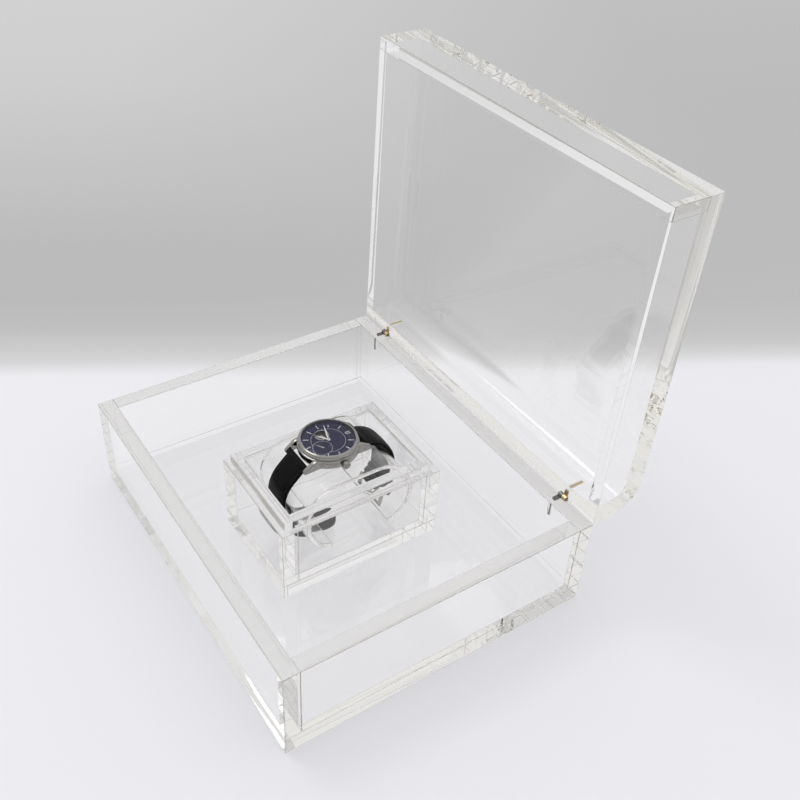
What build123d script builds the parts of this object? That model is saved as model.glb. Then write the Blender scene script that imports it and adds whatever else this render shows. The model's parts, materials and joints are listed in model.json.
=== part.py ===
"""Clear acrylic display box for one watch.

A base tray with a hinged, bent-sheet lid holds a smaller open box.  In the small box stands a C-shaped
ring that carries a watch with its strap unbuckled.  Millimetres, +Z up, front towards -Y, hinge at +Y.
The origin is the centre of the base's underside.  The lid is modelled at rest, open on its stop.
"""
from build123d import *
import os
from math import acos, atan2, cos, degrees, hypot, radians, sin

os.makedirs("parts", exist_ok=True)

# ---------------------------------------------------------------- driving dimensions: case
case_width = 250.0          # along the hinge
case_depth = 206.0          # front to rear
base_floor_thickness = 12.0
base_wall_height = 52.0     # above the floor sheet
base_wall = 10.0
rim_gap = 0.4               # between the closed lid's rim and the base's rim
lid_depth = 34.0            # rim to outer top face
lid_sheet = 10.0            # bent sheet that makes the top and the rear wall
lid_wall = 8.0              # front and side walls
lid_bend_radius = 20.0      # outer radius of the bend
lid_open_angle = 91.0       # from closed to the stop

# hinges: a pin pressed into each rim, joined by an eye on the rear top edge
hinge_inset = 27.0          # from the case's end to the hinge's centre
hinge_pin_radius = 1.5
hinge_pin_length = 12.0
hinge_pin_fit = 0.05
eye_radius = 2.0
eye_width = 3.0
eye_clearance = 0.3
eye_side_gap = 0.1
arm_thickness = 1.5
rivet_radius = 0.75
rivet_fit = 0.05
rivet_head_radius = 1.3
rivet_head_height = 0.5

# ---------------------------------------------------------------- driving dimensions: small box
small_box_width = 76.0
small_box_length = 110.0
small_box_height = 52.0
small_box_wall = 10.0
small_box_floor = 10.0
small_box_lip = 6.4         # thickness of the raised lip on its walls' inner edges
small_box_lip_height = 5.5
small_box_x = 3.0           # where it stands on the base floor
small_box_y = -2.5

# ---------------------------------------------------------------- driving dimensions: C-ring
ring_side_gap = 1.0         # to the small box's side walls
ring_sheet = 3.0
ring_end_radius = 22.3      # outer radius of its round ends
ring_end_stop = 13.0        # degrees its ends stop short of straight down
ring_floor_gap = 9.1        # its round ends to the small box's floor
ring_front_gap = 5.5        # strap to the small box's front wall
ring_rear_gap = 2.5         # strap to its rear wall

# ---------------------------------------------------------------- driving dimensions: watch
watch_shift_x = -1.4        # from the ring's centre
watch_shift_y = -3.2
watch_seat_gap = 0.2
case_radius = 19.1
case_bottom = 0.8           # case middle's underside, above the case back's
case_height = 7.4
case_cavity_radius = 17.2
case_back_radius = 16.4
case_back_thickness = 1.6
part_gap = 0.1              # between pieces that sit in the case
bezel_radius = 18.5
bezel_height = 2.6
crystal_radius = 16.6
crystal_thickness = 1.5
crystal_proud = 0.35
dial_radius = 17.0
dial_thickness = 0.4
dial_height = 7.6           # dial's underside
flange_width = 0.8
movement_radius = 15.0
movement_height = 3.8
open_heart = (-6.0, -1.1)
open_heart_radius = 4.2
small_seconds = (4.1, -6.3)
small_seconds_radius = 5.1
small_seconds_recess = 0.12
marker_inner = 11.9
marker_outer = 15.3
marker_width = 0.6
marker_height = 0.35
balance_radius = 3.7
balance_rim = 0.6
balance_arm = 0.5
balance_thickness = 0.3
balance_gap = 0.5           # above the movement
balance_staff = 0.2         # radius
balance_fit = 0.05
lug_inner = 10.2            # half the gap between the lugs
lug_width = 3.0
lug_root = 7.6              # into the case
lug_length = 4.7            # beyond the case
lug_foot = 0.3              # the tip's underside above the case back's
lug_tip_round = 1.5
lug_nose = 1.5              # height of the tip's flat end
lug_shoulder = (1.9, 2.3)   # the step back and up from the nose
lug_top_gap = 0.3           # below the bezel
spring_bar_radius = 0.75
spring_bar_reach = 1.3      # into each lug
spring_bar_height = 2.6
bar_fit = 0.06
crown_radius = 2.5
crown_length = 3.0
crown_height = 5.0
crown_gap = 0.3
crown_round = 0.5
flute_count = 24
flute_radius = 0.2
flute_margin = 0.5
stem_radius = 0.6
stem_fit = 0.06
stem_reach = 3.0            # into the movement
hand_post_radius = 0.5
hand_thickness = 0.18
hand_gap = 0.25
hand_hub = 2.2              # hub radius to post radius
minute_hand = (13.0, 0.8, 2.0)      # length, width and tail
hour_hand = (8.6, 1.0, 1.6)
seconds_hand = (4.6, 0.35, 1.4)
hour_angle = 234.0          # clockwise from 12, reads twelve minutes to eight
minute_angle = 288.0
seconds_angle = 237.0

# ---------------------------------------------------------------- driving dimensions: strap
strap_width = 19.4
strap_thickness = 2.6
strap_gap = 1.1             # between the ring and the strap
buckle_strap_width = 16.0   # both halves narrow to this below the ring's middle
tail_drop_radius = 20.6     # bend of the tail half where it drops to the floor
tail_end_y = -2.0           # from the ring's centre
strap_floor_gap = 0.7       # tail to the small box's floor
bar_end_radius = 1.8
bar_end_gap = 0.4           # rolled strap end to the case
buckle_bar_angle = -57.0    # where the open buckle half ends, on the ring's rear round
buckle_tilt = 17.0          # from hanging straight down
buckle_reach = 7.0          # bar to front wire
buckle_wire = 0.9           # radius
buckle_bar_radius = 0.55
buckle_clearance = 0.2
prong_radius = 0.5
prong_rest = 0.05           # prong to the front wire it lies on
prong_overhang = 1.0        # past the front wire
prong_half = 0.7            # half its width
prong_slot_gap = 0.2
keeper_leather = 0.8
keeper_width = 4.0
keeper_clearance = 0.1
keeper_room = 3.4           # for the tail's layer, which isn't in it
keeper_angles = (-46.0, -35.5)

# ---------------------------------------------------------------- derived levels
base_top = base_floor_thickness + base_wall_height
rear_face = case_depth / 2
axis_y = rear_face + rim_gap / 2
axis_z = base_top + rim_gap / 2
lid_rim = base_top + rim_gap
lid_top = lid_rim + lid_depth
lid_inner_top = lid_top - lid_sheet
hinge_axis = Axis((0, axis_y, axis_z), (1, 0, 0))

small_floor_top = base_floor_thickness + small_box_floor
ring_x = small_box_x
ring_y = small_box_y + (ring_front_gap - ring_rear_gap) / 2
strap_outer = ring_end_radius + strap_gap + strap_thickness
ring_flat = small_box_length - 2 * small_box_wall - 2 * strap_outer - ring_front_gap - ring_rear_gap
strap_radius = strap_outer - strap_thickness / 2
ring_z = small_floor_top + ring_floor_gap + ring_end_radius
ring_length = small_box_width - 2 * small_box_wall - 2 * ring_side_gap
ring_top = ring_z + ring_end_radius
watch_x = ring_x + watch_shift_x
watch_y = ring_y + watch_shift_y
watch_z = ring_top + watch_seat_gap
watch_place = Pos(watch_x, watch_y, watch_z)
bezel_bottom = case_bottom + case_height
bezel_top = bezel_bottom + bezel_height
dial_face = dial_height + dial_thickness
crystal_bottom = bezel_top + crystal_proud - crystal_thickness


# ---------------------------------------------------------------- helpers
def save(node, *solids):
    """Write one node; several solids become one compound."""
    export_step(solids[0] if len(solids) == 1 else Compound(children=list(solids)), f"parts/{node}.step")


def block(low, high):
    """A box between two corners."""
    size = [high[i] - low[i] for i in range(3)]
    return Pos(*low) * Box(*size, align=(Align.MIN, Align.MIN, Align.MIN))


def disc(radius, bottom, top, at=(0, 0)):
    """An upright cylinder between two heights."""
    return Pos(at[0], at[1], bottom) * Cylinder(radius, top - bottom, align=(Align.CENTER, Align.CENTER, Align.MIN))


def tube(outer, inner, bottom, top, at=(0, 0)):
    """An upright tube between two heights."""
    return disc(outer, bottom, top, at) - disc(inner, bottom - 1, top + 1, at)


def rod_x(radius, x0, x1, y, z):
    """A round rod along X."""
    return Pos(x0, y, z) * Rot(0, 90, 0) * Cylinder(radius, x1 - x0, align=(Align.CENTER, Align.CENTER, Align.MIN))


def across(profile, x0, x1):
    """Extrude a sketch drawn in the YZ plane from x0 to x1."""
    return Pos(x0, 0, 0) * extrude(Plane.YZ * profile, amount=x1 - x0)


def offset_edge(segment, side):
    """One edge of a band: the segment moved sideways, positive to the left of its travel."""
    if segment[0] == "line":
        (y0, z0), (y1, z1) = segment[1:]
        length = hypot(y1 - y0, z1 - z0)
        dy, dz = -(z1 - z0) / length * side, (y1 - y0) / length * side
        return (y0 + dy, z0 + dz), (y1 + dy, z1 + dz), None
    centre, radius, start, end = segment[1:]
    r = radius - side if end > start else radius + side
    at = [(centre[0] + r * cos(radians(a)), centre[1] + r * sin(radians(a))) for a in (start, (start + end) / 2, end)]
    return at[0], at[2], at[1]


def band(segments, thickness):
    """A face of even thickness along tangent lines and arcs, drawn as (y, z)."""
    sides = []
    for side in (thickness / 2, -thickness / 2):
        runs = [offset_edge(segment, side) for segment in segments]
        sides.append(runs)
    edges = []
    for runs in sides:
        for start, end, middle in runs:
            edges.append(Line(start, end) if middle is None else ThreePointArc(start, middle, end))
    edges.append(Line(sides[0][0][0], sides[1][0][0]))
    edges.append(Line(sides[0][-1][1], sides[1][-1][1]))
    return make_face(edges)


def tangent_angle(point, centre, radius, side):
    """Angle on a circle where a line from an outside point touches it; side is +1 or -1."""
    dy, dz = point[0] - centre[0], point[1] - centre[1]
    return degrees(atan2(dz, dy)) + side * degrees(acos(radius / hypot(dy, dz)))


def on_circle(centre, radius, angle):
    return centre[0] + radius * cos(radians(angle)), centre[1] + radius * sin(radians(angle))


# ---------------------------------------------------------------- hinges
def eye_span(hinge_x, is_lid):
    """X range of one eye: the base's is on the left of the hinge's centre, the lid's on the right."""
    start = hinge_x + (eye_side_gap if is_lid else -eye_side_gap - eye_width)
    return start, start + eye_width


def hinge_cut(hinge_x, is_lid):
    """What a rim loses to a hinge: the round groove for both eyes, the arm's pocket and the pin's bore."""
    way = 1 if is_lid else -1
    x0, x1 = eye_span(hinge_x, is_lid)
    pin_x = (x0 + x1) / 2
    reach = eye_width + eye_side_gap + rivet_head_height + eye_clearance
    groove = rod_x(eye_radius + eye_clearance, hinge_x - reach, hinge_x + reach, axis_y, axis_z)
    pocket_z = sorted((axis_z, axis_z + way * (arm_thickness + eye_clearance)))
    pocket = block(
        (x0 - eye_clearance, pin_y(is_lid) - hinge_pin_radius - eye_clearance, pocket_z[0]),
        (x1 + eye_clearance, axis_y, pocket_z[1]),
    )
    bore_z = sorted((axis_z, axis_z + way * (hinge_pin_length + eye_clearance)))
    bore = disc(hinge_pin_radius + hinge_pin_fit, *bore_z, at=(pin_x, pin_y(is_lid)))
    return groove + pocket + bore


def pin_y(is_lid):
    """The pins stand in the middle of the rear walls."""
    return rear_face - (lid_sheet if is_lid else base_wall) / 2


def hinge_leaf(hinge_x, is_lid):
    """A pin, a flat arm and an eye in one piece, drawn with the lid closed."""
    way = 1 if is_lid else -1
    x0, x1 = eye_span(hinge_x, is_lid)
    arm_z = sorted((axis_z + way * rivet_fit, axis_z + way * arm_thickness))
    pin_z = sorted((axis_z + way * rivet_fit, axis_z + way * hinge_pin_length))
    leaf = disc(hinge_pin_radius, *pin_z, at=((x0 + x1) / 2, pin_y(is_lid)))
    leaf += block((x0, pin_y(is_lid), arm_z[0]), (x1, axis_y, arm_z[1]))
    leaf += rod_x(eye_radius, x0, x1, axis_y, axis_z)
    return leaf - rod_x(rivet_radius + rivet_fit, x0 - 1, x1 + 1, axis_y, axis_z)


def hinge_rivet(hinge_x):
    """The rivet that both eyes turn on, headed at both ends."""
    half = eye_width + eye_side_gap + rivet_fit
    rivet = rod_x(rivet_radius, hinge_x - half, hinge_x + half, axis_y, axis_z)
    for x in (hinge_x - half - rivet_head_height, hinge_x + half):
        rivet += rod_x(rivet_head_radius, x, x + rivet_head_height, axis_y, axis_z)
    return rivet


hinge_x = case_width / 2 - hinge_inset
hinges = {"left": -hinge_x, "right": hinge_x}


def opened(shape):
    """Turn a lid piece from closed to its open stop."""
    return shape.rotate(hinge_axis, -lid_open_angle)


# ---------------------------------------------------------------- base
half_w, half_d = case_width / 2, case_depth / 2
base_floor = block((-half_w, -half_d, 0), (half_w, half_d, base_floor_thickness))
base_front = block((-half_w, -half_d, base_floor_thickness), (half_w, -half_d + base_wall, base_top))
base_rear = block((-half_w, half_d - base_wall, base_floor_thickness), (half_w, half_d, base_top))
base_side = block(
    (half_w - base_wall, -half_d + base_wall, base_floor_thickness), (half_w, half_d - base_wall, base_top)
)
for hinge_x in hinges.values():
    base_rear -= hinge_cut(hinge_x, is_lid=False)

save("base_floor", base_floor)
save("base_front_wall", base_front)
save("base_rear_wall", base_rear)
save("base_right_wall", base_side)
save("base_left_wall", base_side.mirror(Plane.YZ))

# ---------------------------------------------------------------- lid, drawn closed
bend_centre = (half_d - lid_bend_radius, lid_top - lid_bend_radius)
sheet_mid = lid_bend_radius - lid_sheet / 2
lid_profile = band(
    [
        ("line", (-half_d, lid_top - lid_sheet / 2), (bend_centre[0], lid_top - lid_sheet / 2)),
        ("arc", bend_centre, sheet_mid, 90, 0),
        ("line", (half_d - lid_sheet / 2, bend_centre[1]), (half_d - lid_sheet / 2, lid_rim)),
    ],
    lid_sheet,
)
lid_top_sheet = across(lid_profile, -half_w, half_w)
for hinge_x in hinges.values():
    lid_top_sheet -= hinge_cut(hinge_x, is_lid=True)
lid_front = block((-half_w, -half_d, lid_rim), (half_w, -half_d + lid_wall, lid_inner_top))
lid_side = block((half_w - lid_wall, -half_d + lid_wall, lid_rim), (half_w, half_d - lid_sheet, lid_inner_top))
bend_edge = lid_side.edges().filter_by(Axis.X).group_by(Axis.Y)[-1].sort_by(Axis.Z)[-1]
lid_side = fillet(bend_edge, lid_bend_radius - lid_sheet)

save("lid_bent_sheet", opened(lid_top_sheet))
save("lid_front_wall", opened(lid_front))
save("lid_right_wall", opened(lid_side))
save("lid_left_wall", opened(lid_side.mirror(Plane.YZ)))

for side_name, hinge_x in hinges.items():
    save(f"hinge_{side_name}_base_leaf", hinge_leaf(hinge_x, is_lid=False))
    save(f"hinge_{side_name}_lid_leaf", opened(hinge_leaf(hinge_x, is_lid=True)))
    save(f"hinge_{side_name}_rivet", hinge_rivet(hinge_x))

# ---------------------------------------------------------------- small box
small_place = Pos(small_box_x, small_box_y, base_floor_thickness)
sw, sl = small_box_width / 2, small_box_length / 2
inner_x, inner_y = sw - small_box_wall, sl - small_box_wall
lip_x, lip_y = inner_x + small_box_lip, inner_y + small_box_lip
lip_top = small_box_height + small_box_lip_height
small_end = block((-sw, -sl, small_box_floor), (sw, -inner_y, small_box_height))
small_end += block((-lip_x, -lip_y, small_box_height), (lip_x, -inner_y, lip_top))
small_side = block((inner_x, -inner_y, small_box_floor), (sw, inner_y, small_box_height))
small_side += block((inner_x, -inner_y, small_box_height), (lip_x, inner_y, lip_top))
save("small_box_floor", small_place * block((-sw, -sl, 0), (sw, sl, small_box_floor)))
save("small_box_front_wall", small_place * small_end)
save("small_box_rear_wall", small_place * small_end.mirror(Plane.XZ))
save("small_box_right_wall", small_place * small_side)
save("small_box_left_wall", small_place * small_side.mirror(Plane.YZ))

# ---------------------------------------------------------------- C-ring
front_centre = (ring_y - ring_flat / 2, ring_z)
rear_centre = (ring_y + ring_flat / 2, ring_z)
ring_mid = ring_end_radius - ring_sheet / 2
ring_profile = band(
    [
        ("arc", front_centre, ring_mid, 270 - ring_end_stop, 90),
        ("line", (front_centre[0], ring_z + ring_mid), (rear_centre[0], ring_z + ring_mid)),
        ("arc", rear_centre, ring_mid, 90, ring_end_stop - 90),
    ],
    ring_sheet,
)
save("c_ring", across(ring_profile, ring_x - ring_length / 2, ring_x + ring_length / 2))

# ---------------------------------------------------------------- watch case
lug_tip = case_radius + lug_length
nose_low = lug_foot + 0.6 * lug_tip_round
nose_high = nose_low + lug_nose
lug_top = bezel_bottom - lug_top_gap
lug_profile = make_face(
    Polyline(
        (case_radius - lug_root, case_bottom),
        (case_radius - lug_tip_round, case_bottom),
        (lug_tip - lug_tip_round, lug_foot),
        (lug_tip, nose_low),
        (lug_tip, nose_high),
        (lug_tip - lug_shoulder[0], nose_high + lug_shoulder[1]),
        (case_radius - lug_tip_round, lug_top),
        (case_radius - lug_root, lug_top),
        close=True,
    )
)
case_middle = disc(case_radius, case_bottom, bezel_bottom)
case_middle = fillet(case_middle.edges().filter_by(GeomType.CIRCLE), 1.2)
for x0 in (lug_inner, -lug_inner - lug_width):
    lug = across(lug_profile, x0, x0 + lug_width)
    case_middle += lug + lug.mirror(Plane.XZ)
case_middle -= disc(case_cavity_radius, case_back_thickness, bezel_bottom + 1)
case_middle -= disc(case_back_radius + part_gap, -1, case_back_thickness)
case_middle -= rod_x(stem_radius + stem_fit, case_cavity_radius - 2, case_radius + 2, 0, crown_height)
spring_bar_y = case_radius + bar_end_radius + bar_end_gap
bar_half = lug_inner + spring_bar_reach
for y in (-spring_bar_y, spring_bar_y):
    case_middle -= rod_x(spring_bar_radius + bar_fit, -bar_half - bar_fit, bar_half + bar_fit, y, spring_bar_height)
case_back = disc(case_back_radius, 0, case_back_thickness)
case_back = chamfer(case_back.edges().filter_by(GeomType.CIRCLE).sort_by(Axis.Z)[0], 0.5)
bezel = disc(bezel_radius, bezel_bottom, bezel_top)
bezel = chamfer(bezel.edges().filter_by(GeomType.CIRCLE).sort_by(Axis.Z)[-1], 1.2)
bezel -= disc(crystal_radius + part_gap / 2, bezel_bottom - 1, bezel_top + 1)
crystal = disc(crystal_radius, crystal_bottom, crystal_bottom + crystal_thickness)
crystal = fillet(crystal.edges().filter_by(GeomType.CIRCLE).sort_by(Axis.Z)[-1], 0.3)
save("watch_case", watch_place * case_middle)
save("watch_case_back", watch_place * case_back)
save("watch_bezel", watch_place * bezel)
save("watch_crystal", watch_place * crystal)

# ---------------------------------------------------------------- dial and movement
movement_bottom = case_back_thickness + part_gap
movement_top = movement_bottom + movement_height
holder_outer = case_cavity_radius - part_gap
holder = tube(holder_outer, movement_radius + part_gap, movement_bottom, dial_height)
holder -= rod_x(stem_radius + stem_fit, movement_radius - 1, case_cavity_radius + 1, 0, crown_height)
movement = disc(movement_radius, movement_bottom, movement_top)
movement -= rod_x(stem_radius + stem_fit, movement_radius - stem_reach, movement_radius + 1, 0, crown_height)
movement += disc(hand_post_radius, movement_top, crystal_bottom - hand_gap)
movement += disc(hand_post_radius / 2, movement_top, dial_face + 2 * hand_gap + hand_thickness, at=small_seconds)
balance_level = movement_top + balance_gap
balance_top = balance_level + balance_thickness
movement += disc(balance_staff, movement_top, balance_top + part_gap, at=open_heart)
balance = tube(balance_radius, balance_radius - balance_rim, balance_level, balance_top, at=open_heart)
arm_size = (2 * balance_radius - balance_rim, balance_arm, balance_thickness)
for turn in (0, 90):
    arm = Rot(0, 0, turn) * Box(*arm_size, align=(Align.CENTER, Align.CENTER, Align.MIN))
    balance += Pos(*open_heart, balance_level) * arm
balance -= disc(balance_staff + balance_fit, balance_level - 1, balance_top + 1, at=open_heart)
dial = disc(dial_radius, dial_height, dial_face)
dial -= disc(open_heart_radius, dial_height - 1, dial_face + 1, at=open_heart)
dial -= disc(small_seconds_radius, dial_face - small_seconds_recess, dial_face + 1, at=small_seconds)
dial -= disc(hand_post_radius + part_gap, dial_height - 1, dial_face + 1)
dial -= disc(hand_post_radius / 2 + part_gap, dial_height - 1, dial_face + 1, at=small_seconds)
flange = tube(crystal_radius, crystal_radius - flange_width, dial_face, crystal_bottom - part_gap)
five_oclock = 5
markers = []
for hour in range(12):
    if hour == five_oclock:
        continue
    bar = Box(marker_width, marker_outer - marker_inner, marker_height, align=(Align.CENTER, Align.MIN, Align.MIN))
    markers.append(Rot(0, 0, -30 * hour) * Pos(0, marker_inner, dial_face) * bar)
save("watch_movement_holder", watch_place * holder)
save("watch_movement", watch_place * movement)
save("watch_balance_wheel", watch_place * balance)
save("watch_dial", watch_place * dial)
save("watch_flange_ring", watch_place * flange)
save("watch_hour_markers", *[watch_place * marker for marker in markers])


# ---------------------------------------------------------------- hands and crown
def hand(sizes, post, level, angle, at=(0, 0)):
    """A tapered hand on a post, turned clockwise from 12."""
    length, width, tail = sizes
    half, shoulder = width / 2, length * 0.75
    outline = Polyline((-half, -tail), (half, -tail), (half, shoulder), (0, length), (-half, shoulder), close=True)
    blade = extrude(make_face(outline), amount=hand_thickness)
    blade += Cylinder(post * hand_hub, hand_thickness, align=(Align.CENTER, Align.CENTER, Align.MIN))
    blade -= Cylinder(post + stem_fit, 4 * hand_thickness)
    return watch_place * Pos(*at, level) * Rot(0, 0, -angle) * blade


seconds_post = hand_post_radius / 2
seconds_level = dial_face + hand_gap
hour_level = dial_face + marker_height + hand_gap
minute_level = hour_level + hand_thickness + hand_gap
save("watch_hour_hand", hand(hour_hand, hand_post_radius, hour_level, hour_angle))
save("watch_minute_hand", hand(minute_hand, hand_post_radius, minute_level, minute_angle))
save("watch_seconds_hand", hand(seconds_hand, seconds_post, seconds_level, seconds_angle, small_seconds))
crown_start = case_radius + crown_gap
crown = rod_x(crown_radius, crown_start, crown_start + crown_length, 0, crown_height)
crown = fillet(crown.edges().filter_by(GeomType.CIRCLE), crown_round)
stem_end = crown_start + crown_length / 2
crown -= rod_x(stem_radius + stem_fit, crown_start - 1, stem_end, 0, crown_height)
flute_start, flute_end = crown_start + flute_margin, crown_start + crown_length - flute_margin
for flute in range(flute_count):
    turn = radians(360 * flute / flute_count)
    flute_y, flute_z = crown_radius * cos(turn), crown_height + crown_radius * sin(turn)
    crown -= rod_x(flute_radius, flute_start, flute_end, flute_y, flute_z)
stem = rod_x(stem_radius, movement_radius - stem_reach + part_gap, stem_end - part_gap, 0, crown_height)
save("watch_crown", watch_place * crown)
save("watch_crown_stem", watch_place * stem)

# ---------------------------------------------------------------- strap
bar_z = watch_z + spring_bar_height
front_bar, rear_bar = (watch_y - spring_bar_y, bar_z), (watch_y + spring_bar_y, bar_z)
strap_x0, strap_x1 = watch_x - strap_width / 2, watch_x + strap_width / 2
front_touch = tangent_angle(front_bar, front_centre, strap_radius, 1)
rear_touch = tangent_angle(rear_bar, rear_centre, strap_radius, -1)
buckle_bar = on_circle(rear_centre, strap_radius, buckle_bar_angle)
drop_centre = (
    front_centre[0] - strap_radius + tail_drop_radius,
    small_floor_top + strap_floor_gap + strap_thickness / 2 + tail_drop_radius,
)
floor_level = drop_centre[1] - tail_drop_radius
front_strap_profile = band(
    [
        ("line", front_bar, on_circle(front_centre, strap_radius, front_touch)),
        ("arc", front_centre, strap_radius, front_touch, 180),
        ("line", on_circle(front_centre, strap_radius, 180), on_circle(drop_centre, tail_drop_radius, 180)),
        ("arc", drop_centre, tail_drop_radius, 180, 270),
        ("line", (drop_centre[0], floor_level), (ring_y + tail_end_y, floor_level)),
    ],
    strap_thickness,
)
rear_strap_profile = band(
    [
        ("line", rear_bar, on_circle(rear_centre, strap_radius, rear_touch)),
        ("arc", rear_centre, strap_radius, rear_touch, buckle_bar_angle),
    ],
    strap_thickness,
)


def strap_half(z):
    """Half the strap's width at a height: full down to the ring's middle, then narrowing to the buckle's."""
    fall = min(max((ring_z - z) / (ring_z - buckle_bar[1]), 0), 1)
    return (strap_width + (buckle_strap_width - strap_width) * fall) / 2


def narrowed(piece):
    """Trim a strap half to the widths of strap_half."""
    side = [(strap_half(z), z) for z in (0, buckle_bar[1], ring_z, 2 * ring_z)]
    outline = Polyline(*side, *[(-x, z) for x, z in reversed(side)], close=True)
    return piece & Pos(watch_x, ring_y, 0) * extrude(Plane.XZ * make_face(outline), small_box_length, both=True)


def strap_piece(profile, bar):
    """A strap half with the rolled end that takes its spring bar."""
    piece = across(profile, strap_x0, strap_x1) + rod_x(bar_end_radius, strap_x0, strap_x1, *bar)
    return piece - rod_x(spring_bar_radius + bar_fit, strap_x0 - 1, strap_x1 + 1, *bar)


front_strap = strap_piece(front_strap_profile, front_bar)
rear_strap = strap_piece(rear_strap_profile, rear_bar)
rear_strap += rod_x(strap_thickness / 2, strap_x0, strap_x1, *buckle_bar)
rear_strap -= rod_x(buckle_bar_radius + bar_fit, strap_x0 - 1, strap_x1 + 1, *buckle_bar)
front_strap, rear_strap = narrowed(front_strap), narrowed(rear_strap)

# the open buckle's frame hangs on its bar
tilt = radians(buckle_tilt)
front_wire = (buckle_bar[0] - buckle_reach * sin(tilt), buckle_bar[1] - buckle_reach * cos(tilt))


def slot_bar(start, end, radius):
    """A round-ended bar in the YZ plane between two points."""
    length = hypot(end[0] - start[0], end[1] - start[1])
    turn = degrees(atan2(end[1] - start[1], end[0] - start[0]))
    return Pos(*start) * Rot(0, 0, turn) * Pos(length / 2, 0) * SlotCenterToCenter(length, 2 * radius)


arm_x = buckle_strap_width / 2 + buckle_clearance
arm_profile = slot_bar(front_wire, buckle_bar, buckle_wire)
wire_end = arm_x + 2 * buckle_wire
bar_reach = arm_x + buckle_wire
buckle = rod_x(buckle_wire, watch_x - wire_end, watch_x + wire_end, *front_wire)
for x0 in (watch_x - wire_end, watch_x + arm_x):
    buckle += across(arm_profile, x0, x0 + 2 * buckle_wire)
buckle -= rod_x(buckle_bar_radius + bar_fit, watch_x - bar_reach, watch_x + bar_reach, *buckle_bar)

# the prong turns on the bar in a slot of the strap's end and lies on the front wire
prong_lift = buckle_wire + prong_radius + prong_rest
prong_touch = on_circle(front_wire, prong_lift, tangent_angle(buckle_bar, front_wire, prong_lift, -1))
touch_length = hypot(prong_touch[0] - buckle_bar[0], prong_touch[1] - buckle_bar[1])
past = 1 + prong_overhang / touch_length
prong_tip = [buckle_bar[i] + (prong_touch[i] - buckle_bar[i]) * past for i in range(2)]
prong_eye = strap_thickness / 2 - part_gap
prong_x0, prong_x1 = watch_x - prong_half, watch_x + prong_half
prong = across(slot_bar(buckle_bar, prong_tip, prong_radius), prong_x0, prong_x1)
prong += rod_x(prong_eye, prong_x0, prong_x1, *buckle_bar)
prong -= rod_x(buckle_bar_radius + bar_fit, prong_x0 - 1, prong_x1 + 1, *buckle_bar)
rear_strap -= rod_x(
    strap_thickness / 2 + prong_slot_gap, prong_x0 - prong_slot_gap, prong_x1 + prong_slot_gap, *buckle_bar
)
save("strap_tail_half", front_strap)
save("strap_buckle_half", rear_strap)
save("buckle_frame", buckle)
bar_end = bar_reach - bar_fit
save("buckle_bar", rod_x(buckle_bar_radius, watch_x - bar_end, watch_x + bar_end, *buckle_bar))
save("buckle_prong", prong)
save(
    "spring_bars",
    *[rod_x(spring_bar_radius, watch_x - bar_half, watch_x + bar_half, *bar) for bar in (front_bar, rear_bar)],
)


def keeper(angle):
    """A closed leather loop round the strap, with room for a second layer."""
    inner = strap_radius - strap_thickness / 2 - keeper_clearance
    outer = strap_radius + keeper_room + strap_thickness / 2 + keeper_clearance
    sweep = degrees(keeper_width / ((inner + outer) / 2))

    def sector(low, high, x_half):
        middle = (low + high) / 2
        profile = band([("arc", rear_centre, middle, angle - sweep / 2, angle + sweep / 2)], high - low)
        return across(profile, watch_x - x_half, watch_x + x_half)

    hole_half = strap_half(ring_z + strap_radius * sin(radians(angle + sweep / 2))) + keeper_clearance
    body = sector(inner - keeper_leather, outer + keeper_leather, hole_half + keeper_leather)
    return body - sector(inner, outer, hole_half)


save("strap_keepers", *[keeper(angle) for angle in keeper_angles])
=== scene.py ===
"""Looks for the clear display box and its wristwatch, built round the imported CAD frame."""

import json
from math import acos, atan2, cos, degrees, hypot, pi, radians, sin

import bmesh
import bpy
from mathutils import Matrix, Vector


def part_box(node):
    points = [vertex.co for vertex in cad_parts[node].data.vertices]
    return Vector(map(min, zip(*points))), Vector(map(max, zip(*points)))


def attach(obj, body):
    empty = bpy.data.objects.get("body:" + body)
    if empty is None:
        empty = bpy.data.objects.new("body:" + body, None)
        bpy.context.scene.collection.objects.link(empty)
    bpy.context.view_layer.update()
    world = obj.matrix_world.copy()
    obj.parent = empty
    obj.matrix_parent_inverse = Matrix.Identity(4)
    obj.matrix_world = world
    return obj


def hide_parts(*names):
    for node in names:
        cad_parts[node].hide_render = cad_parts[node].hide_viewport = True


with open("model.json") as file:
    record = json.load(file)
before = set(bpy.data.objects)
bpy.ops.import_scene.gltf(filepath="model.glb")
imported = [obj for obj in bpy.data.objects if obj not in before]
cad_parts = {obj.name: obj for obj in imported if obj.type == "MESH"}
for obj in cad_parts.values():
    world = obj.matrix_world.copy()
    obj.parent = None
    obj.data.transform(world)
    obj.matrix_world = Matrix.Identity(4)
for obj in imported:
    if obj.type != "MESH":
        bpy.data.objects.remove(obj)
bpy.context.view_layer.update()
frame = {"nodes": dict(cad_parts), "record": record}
MM = 0.001


# ------------------------------------------------------------------ mesh helpers
def finish_mesh(name, bm, materials, sharp=15.0, weld=True):
    """Make an object of a bmesh: outward normals, smooth faces and sharp edges past an angle."""
    if weld:
        bmesh.ops.remove_doubles(bm, verts=bm.verts, dist=1e-7)
    bmesh.ops.recalc_face_normals(bm, faces=bm.faces)
    mesh = bpy.data.meshes.new(name)
    bm.to_mesh(mesh)
    bm.free()
    for face in mesh.polygons:
        face.use_smooth = True
    mesh.set_sharp_from_angle(angle=radians(sharp))
    for material in materials:
        mesh.materials.append(material)
    obj = bpy.data.objects.new(name, mesh)
    bpy.context.scene.collection.objects.link(obj)
    return obj


def piece(obj, body, slot, *nodes):
    """Attach a piece to the body it rides on and hide the nodes it stands for; the finish it is given is not
    used.
    """
    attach(obj, body)
    if nodes:
        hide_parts(*nodes)
    return obj


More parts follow.
